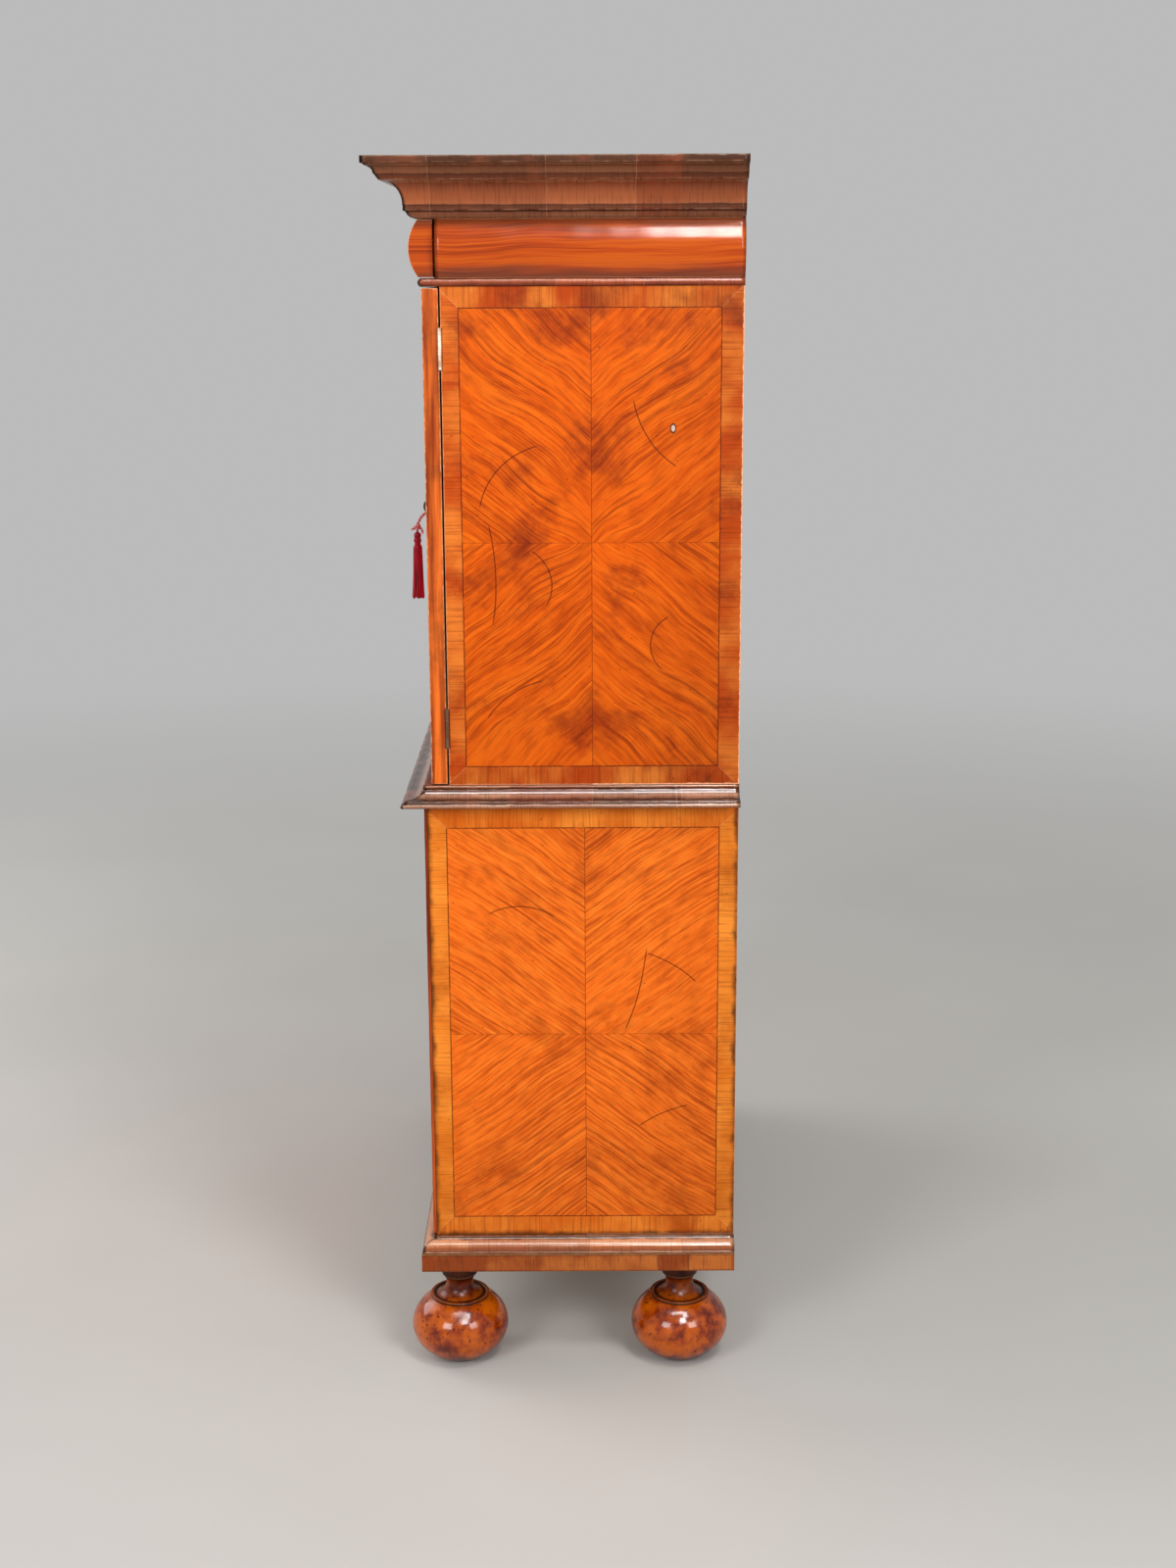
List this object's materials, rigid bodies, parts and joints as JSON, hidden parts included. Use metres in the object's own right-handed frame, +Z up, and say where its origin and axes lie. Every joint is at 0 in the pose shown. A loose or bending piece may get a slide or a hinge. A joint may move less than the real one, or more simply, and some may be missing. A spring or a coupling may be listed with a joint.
{
  "type": "cabinet on chest",
  "caption": "Walnut cabinet on chest: doors over shelves, a cushion frieze drawer under the cornice, long drawers with drop handles, turned bun feet.",
  "frame": {"origin": "on the floor, under the middle of the overall width and depth", "axes": "+X to the right as seen by someone facing the doors, +Y to the back, +Z up"},
  "size_m": [1.111, 0.492, 1.7],
  "materials": {
    "walnut_veneer": "quartered veneer, polished",
    "walnut_moulding": "cross-grained, dark wax",
    "turned_walnut": "turned, high polish",
    "oak": "plain sawn, unpolished",
    "brass": "cast, lightly aged",
    "iron": "forged, browned",
    "tassel_silk": "twisted threads",
    "cord_silk": "two-ply twisted cord"
  },
  "bodies": {
    "carcase": {"foot_front_left": "turned_walnut", "foot_front_right": "turned_walnut", "foot_back_left": "turned_walnut", "foot_back_right": "turned_walnut", "plinth_frame": "walnut_veneer", "plinth_moulding": "walnut_moulding", "chest_side_left": "walnut_veneer", "chest_side_right": "walnut_veneer", "chest_back": "oak", "chest_bottom": "oak", "chest_top": "oak", "chest_rails": "oak", "chest_dustboards": "oak", "chest_runners": "oak", "chest_front_beads": "walnut_moulding", "waist_moulding": "walnut_moulding", "cupboard_side_left": "walnut_veneer", "cupboard_side_right": "walnut_veneer", "cupboard_back": "oak", "cupboard_bottom": "oak", "frieze_board": "oak", "top_board": "oak", "frieze_cushions": "walnut_veneer", "frieze_bead": "walnut_moulding", "cornice_frame": "oak", "cornice_top": "oak", "cornice_moulding": "walnut_moulding", "shelves": "oak", "shelf_battens": "oak", "hinge_leaves_carcase": "brass"},
    "frieze_drawer": {"frieze_drawer_front": "walnut_veneer", "frieze_drawer_box": "oak"},
    "bottom_drawer": {"bottom_drawer_front": "walnut_veneer", "bottom_drawer_box": "oak", "bottom_drawer_brasses": "brass"},
    "bottom_drop_left": {"bottom_drop_left": "brass"},
    "bottom_drop_right": {"bottom_drop_right": "brass"},
    "middle_drawer": {"middle_drawer_front": "walnut_veneer", "middle_drawer_box": "oak", "middle_drawer_brasses": "brass"},
    "middle_drop_left": {"middle_drop_left": "brass"},
    "middle_drop_right": {"middle_drop_right": "brass"},
    "top_drawer": {"top_drawer_front": "walnut_veneer", "top_drawer_box": "oak", "top_drawer_brasses": "brass"},
    "top_drop_left": {"top_drop_left": "brass"},
    "top_drop_right": {"top_drop_right": "brass"},
    "door_left": {"door_left": "walnut_veneer", "hinge_leaves_left": "brass", "door_bolt_guides": "brass"},
    "door_right": {"door_right": "walnut_veneer", "hinge_leaves_right": "brass", "door_lock": "iron", "door_escutcheon": "brass"},
    "bolt_top": {"bolt_top": "brass"},
    "bolt_bottom": {"bolt_bottom": "brass"},
    "lock_bolt": {"lock_bolt": "iron"},
    "key": {"key": "iron"},
    "tassel": {"tassel": "tassel_silk", "tassel_cord": "cord_silk"}
  },
  "joints": [
    {"name": "door_right_hinge", "type": "hinge", "parent": "carcase", "child": "door_right", "pos_m": [0.49, -0.154, 1.204], "axis": [0, 0, 1], "range_deg": [0, 175]},
    {"name": "door_left_hinge", "type": "hinge", "parent": "carcase", "child": "door_left", "pos_m": [-0.49, -0.154, 1.204], "axis": [0, 0, -1], "range_deg": [0, 175]},
    {"name": "frieze_drawer_slide", "type": "slide", "parent": "carcase", "child": "frieze_drawer", "axis": [0, -1, 0], "range_m": [0, 0.3]},
    {"name": "bottom_drawer_slide", "type": "slide", "parent": "carcase", "child": "bottom_drawer", "axis": [0, -1, 0], "range_m": [0, 0.3]},
    {"name": "middle_drawer_slide", "type": "slide", "parent": "carcase", "child": "middle_drawer", "axis": [0, -1, 0], "range_m": [0, 0.3]},
    {"name": "top_drawer_slide", "type": "slide", "parent": "carcase", "child": "top_drawer", "axis": [0, -1, 0], "range_m": [0, 0.3]},
    {"name": "bottom_drop_left_swing", "type": "hinge", "parent": "bottom_drawer", "child": "bottom_drop_left", "pos_m": [-0.245, -0.1925, 0.323], "axis": [-1, 0, 0], "range_deg": [0, 80]},
    {"name": "bottom_drop_right_swing", "type": "hinge", "parent": "bottom_drawer", "child": "bottom_drop_right", "pos_m": [0.245, -0.1925, 0.323], "axis": [-1, 0, 0], "range_deg": [0, 80]},
    {"name": "middle_drop_left_swing", "type": "hinge", "parent": "middle_drawer", "child": "middle_drop_left", "pos_m": [-0.245, -0.1925, 0.54], "axis": [-1, 0, 0], "range_deg": [0, 80]},
    {"name": "middle_drop_right_swing", "type": "hinge", "parent": "middle_drawer", "child": "middle_drop_right", "pos_m": [0.245, -0.1925, 0.54], "axis": [-1, 0, 0], "range_deg": [0, 80]},
    {"name": "top_drop_left_swing", "type": "hinge", "parent": "top_drawer", "child": "top_drop_left", "pos_m": [-0.245, -0.1925, 0.739], "axis": [-1, 0, 0], "range_deg": [0, 80]},
    {"name": "top_drop_right_swing", "type": "hinge", "parent": "top_drawer", "child": "top_drop_right", "pos_m": [0.245, -0.1925, 0.739], "axis": [-1, 0, 0], "range_deg": [0, 80]},
    {"name": "key_turn", "type": "hinge", "parent": "door_right", "child": "key", "pos_m": [0.026, -0.178, 1.204], "axis": [0, -1, 0], "range_deg": [0, 180]},
    {"name": "lock_bolt_slide", "type": "slide", "parent": "door_right", "child": "lock_bolt", "axis": [-1, 0, 0], "range_m": [0, 0.012]},
    {"name": "bolt_top_slide", "type": "slide", "parent": "door_left", "child": "bolt_top", "axis": [0, 0, 1], "range_m": [0, 0.008]},
    {"name": "bolt_bottom_slide", "type": "slide", "parent": "door_left", "child": "bolt_bottom", "axis": [0, 0, -1], "range_m": [0, 0.008]},
    {"name": "tassel_swing", "type": "hinge", "parent": "door_right", "child": "tassel", "pos_m": [0.026, -0.2115, 1.1944], "axis": [0, 1, 0], "range_deg": [-75, 75]}
  ],
  "couplings": [
    {"joint": "lock_bolt_slide", "follows": "key_turn", "m_per_rad": 0.0038197}
  ]
}
